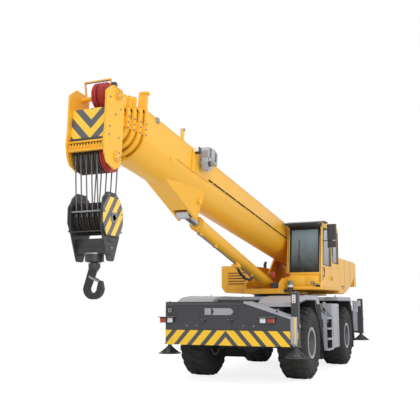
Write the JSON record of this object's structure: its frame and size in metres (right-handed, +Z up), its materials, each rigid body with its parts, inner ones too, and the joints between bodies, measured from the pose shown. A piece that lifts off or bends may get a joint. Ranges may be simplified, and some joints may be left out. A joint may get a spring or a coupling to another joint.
{
  "type": "mobile crane",
  "caption": "Rough-terrain mobile crane with steered axles, outriggers, slewing cab and superstructure, telescopic luffing boom and hook block.",
  "frame": {"origin": "on the ground under the middle of the overall box", "axes": "+X forward over the bumper, +Y to the crane's left, +Z up"},
  "size_m": [15.0743, 3.8899, 5.5518],
  "materials": {
    "crane_yellow": "gloss",
    "chassis_grey": "satin",
    "deck_grey": "satin",
    "tyre": "matte",
    "rim_grey": "satin",
    "machined_steel": "brushed",
    "rod_chrome": "polished",
    "block_black": "satin",
    "cast_iron": "cast",
    "wire_rope": "stranded",
    "seat_black": "woven",
    "trim_black": "matte",
    "cab_glass": "clear"
  },
  "bodies": {
    "carrier": {"carrier_frame": "chassis_grey", "outrigger_boxes": "chassis_grey", "deck_plates": "deck_grey", "slewing_ring": "chassis_grey", "fuel_tank": "deck_grey", "tool_locker": "deck_grey", "access_ladders": "deck_grey", "engine_block": "chassis_grey", "axles": "chassis_grey", "lamp_housings": "trim_black"},
    "knuckle_fl": {"knuckle_fl": "chassis_grey"},
    "wheel_fl": {"rim_fl": "rim_grey", "tyre_fl": "tyre"},
    "knuckle_fr": {"knuckle_fr": "chassis_grey"},
    "wheel_fr": {"rim_fr": "rim_grey", "tyre_fr": "tyre"},
    "knuckle_rl": {"knuckle_rl": "chassis_grey"},
    "wheel_rl": {"rim_rl": "rim_grey", "tyre_rl": "tyre"},
    "knuckle_rr": {"knuckle_rr": "chassis_grey"},
    "wheel_rr": {"rim_rr": "rim_grey", "tyre_rr": "tyre"},
    "beam_fl": {"outrigger_beam_fl": "chassis_grey"},
    "jack_fl": {"outrigger_jack_fl": "machined_steel"},
    "beam_fr": {"outrigger_beam_fr": "chassis_grey"},
    "jack_fr": {"outrigger_jack_fr": "machined_steel"},
    "beam_rl": {"outrigger_beam_rl": "chassis_grey"},
    "jack_rl": {"outrigger_jack_rl": "machined_steel"},
    "beam_rr": {"outrigger_beam_rr": "chassis_grey"},
    "jack_rr": {"outrigger_jack_rr": "machined_steel"},
    "superstructure": {"turntable_frame": "crane_yellow", "counterweight": "crane_yellow", "cab_shell": "crane_yellow", "cab_glazing": "cab_glass", "cab_visor": "trim_black", "operator_seat": "seat_black", "louvre_housing": "crane_yellow", "side_fairing": "crane_yellow", "winch_drums": "crane_yellow"},
    "door": {"cab_door": "crane_yellow", "door_glazing": "cab_glass", "door_mirrors": "trim_black"},
    "boom": {"boom_base": "crane_yellow", "cable_reel": "trim_black"},
    "section_2": {"boom_section_2": "crane_yellow"},
    "section_3": {"boom_section_3": "crane_yellow"},
    "section_4": {"boom_section_4": "crane_yellow"},
    "section_5": {"boom_section_5": "crane_yellow", "boom_head": "crane_yellow", "head_sheaves": "cast_iron"},
    "cylinder_barrel": {"luff_barrel": "crane_yellow"},
    "cylinder_rod": {"luff_rod": "rod_chrome"},
    "block": {"rope_falls": "wire_rope", "hook_block": "block_black", "block_sheaves": "cast_iron"},
    "hook": {"crane_hook": "block_black"}
  },
  "joints": [
    {"name": "steer_fl", "type": "hinge", "parent": "carrier", "child": "knuckle_fl", "pos_m": [-0.3024, 0.95, 0.89], "axis": [0, 0, 1], "range_deg": [-25, 25]},
    {"name": "roll_fl", "type": "hinge", "parent": "knuckle_fl", "child": "wheel_fl", "pos_m": [-0.3024, 1.3, 0.89], "axis": [0, 1, 0], "continuous": true},
    {"name": "steer_fr", "type": "hinge", "parent": "carrier", "child": "knuckle_fr", "pos_m": [-0.3024, -0.95, 0.89], "axis": [0, 0, 1], "range_deg": [-25, 25]},
    {"name": "roll_fr", "type": "hinge", "parent": "knuckle_fr", "child": "wheel_fr", "pos_m": [-0.3024, -1.3, 0.89], "axis": [0, 1, 0], "continuous": true},
    {"name": "steer_rl", "type": "hinge", "parent": "carrier", "child": "knuckle_rl", "pos_m": [-4.7224, 0.95, 0.89], "axis": [0, 0, 1], "range_deg": [-25, 25]},
    {"name": "roll_rl", "type": "hinge", "parent": "knuckle_rl", "child": "wheel_rl", "pos_m": [-4.7224, 1.3, 0.89], "axis": [0, 1, 0], "continuous": true},
    {"name": "steer_rr", "type": "hinge", "parent": "carrier", "child": "knuckle_rr", "pos_m": [-4.7224, -0.95, 0.89], "axis": [0, 0, 1], "range_deg": [-25, 25]},
    {"name": "roll_rr", "type": "hinge", "parent": "knuckle_rr", "child": "wheel_rr", "pos_m": [-4.7224, -1.3, 0.89], "axis": [0, 1, 0], "continuous": true},
    {"name": "beam_fl_extend", "type": "slide", "parent": "carrier", "child": "beam_fl", "axis": [0, 1, 0], "range_m": [0, 2.2]},
    {"name": "jack_fl_lower", "type": "slide", "parent": "beam_fl", "child": "jack_fl", "axis": [0, 0, -1], "range_m": [0, 0.75]},
    {"name": "beam_fr_extend", "type": "slide", "parent": "carrier", "child": "beam_fr", "axis": [0, -1, 0], "range_m": [0, 2.2]},
    {"name": "jack_fr_lower", "type": "slide", "parent": "beam_fr", "child": "jack_fr", "axis": [0, 0, -1], "range_m": [0, 0.75]},
    {"name": "beam_rl_extend", "type": "slide", "parent": "carrier", "child": "beam_rl", "axis": [0, 1, 0], "range_m": [0, 2.2]},
    {"name": "jack_rl_lower", "type": "slide", "parent": "beam_rl", "child": "jack_rl", "axis": [0, 0, -1], "range_m": [0, 0.75]},
    {"name": "beam_rr_extend", "type": "slide", "parent": "carrier", "child": "beam_rr", "axis": [0, -1, 0], "range_m": [0, 2.2]},
    {"name": "jack_rr_lower", "type": "slide", "parent": "beam_rr", "child": "jack_rr", "axis": [0, 0, -1], "range_m": [0, 0.75]},
    {"name": "slew", "type": "hinge", "parent": "carrier", "child": "superstructure", "pos_m": [-2.9624, 0, 2.14], "axis": [0, 0, 1], "continuous": true},
    {"name": "cab_door_swing", "type": "hinge", "parent": "superstructure", "child": "door", "pos_m": [-3.2124, 1.556, 3.2], "axis": [0, 0, 1], "range_deg": [0, 85]},
    {"name": "boom_luff", "type": "hinge", "parent": "superstructure", "child": "boom", "pos_m": [-4.7124, 0, 3.5], "axis": [0, -1, 0], "range_deg": [-5, 71]},
    {"name": "section_2_extend", "type": "slide", "parent": "boom", "child": "section_2", "axis": [0.9928, 0, 0.1201], "range_m": [0, 8.2]},
    {"name": "section_3_extend", "type": "slide", "parent": "section_2", "child": "section_3", "axis": [0.9928, 0, 0.1201], "range_m": [0, 8.2]},
    {"name": "section_4_extend", "type": "slide", "parent": "section_3", "child": "section_4", "axis": [0.9928, 0, 0.1201], "range_m": [0, 8.2]},
    {"name": "section_5_extend", "type": "slide", "parent": "section_4", "child": "section_5", "axis": [0.9928, 0, 0.1201], "range_m": [0, 8.2]},
    {"name": "cylinder_swing", "type": "hinge", "parent": "superstructure", "child": "cylinder_barrel", "pos_m": [-2.4124, 0, 2.3], "axis": [0, -1, 0], "range_deg": [-5.5, 77]},
    {"name": "cylinder_extend", "type": "slide", "parent": "cylinder_barrel", "child": "cylinder_rod", "axis": [0.9744, 0, 0.2247], "range_m": [-0.2, 2.75]},
    {"name": "falls_swing", "type": "hinge", "parent": "section_5", "child": "block", "pos_m": [7.1683, 0, 4.21045], "axis": [0, -1, 0], "range_deg": [-71.5, 5.5]},
    {"name": "hook_swivel", "type": "hinge", "parent": "block", "child": "hook", "pos_m": [7.1683, 0, 2.61045], "axis": [0, 0, 1], "continuous": true}
  ],
  "couplings": [
    {"joint": "steer_fr", "follows": "steer_fl", "ratio": 1},
    {"joint": "steer_rr", "follows": "steer_rl", "ratio": 1},
    {"joint": "section_3_extend", "follows": "section_2_extend", "ratio": 1},
    {"joint": "section_4_extend", "follows": "section_2_extend", "ratio": 1},
    {"joint": "section_5_extend", "follows": "section_2_extend", "ratio": 1},
    {"joint": "cylinder_swing", "follows": "boom_luff", "ratio": 1.08},
    {"joint": "cylinder_extend", "follows": "boom_luff", "m_per_rad": 2.2},
    {"joint": "falls_swing", "follows": "boom_luff", "ratio": -1}
  ]
}
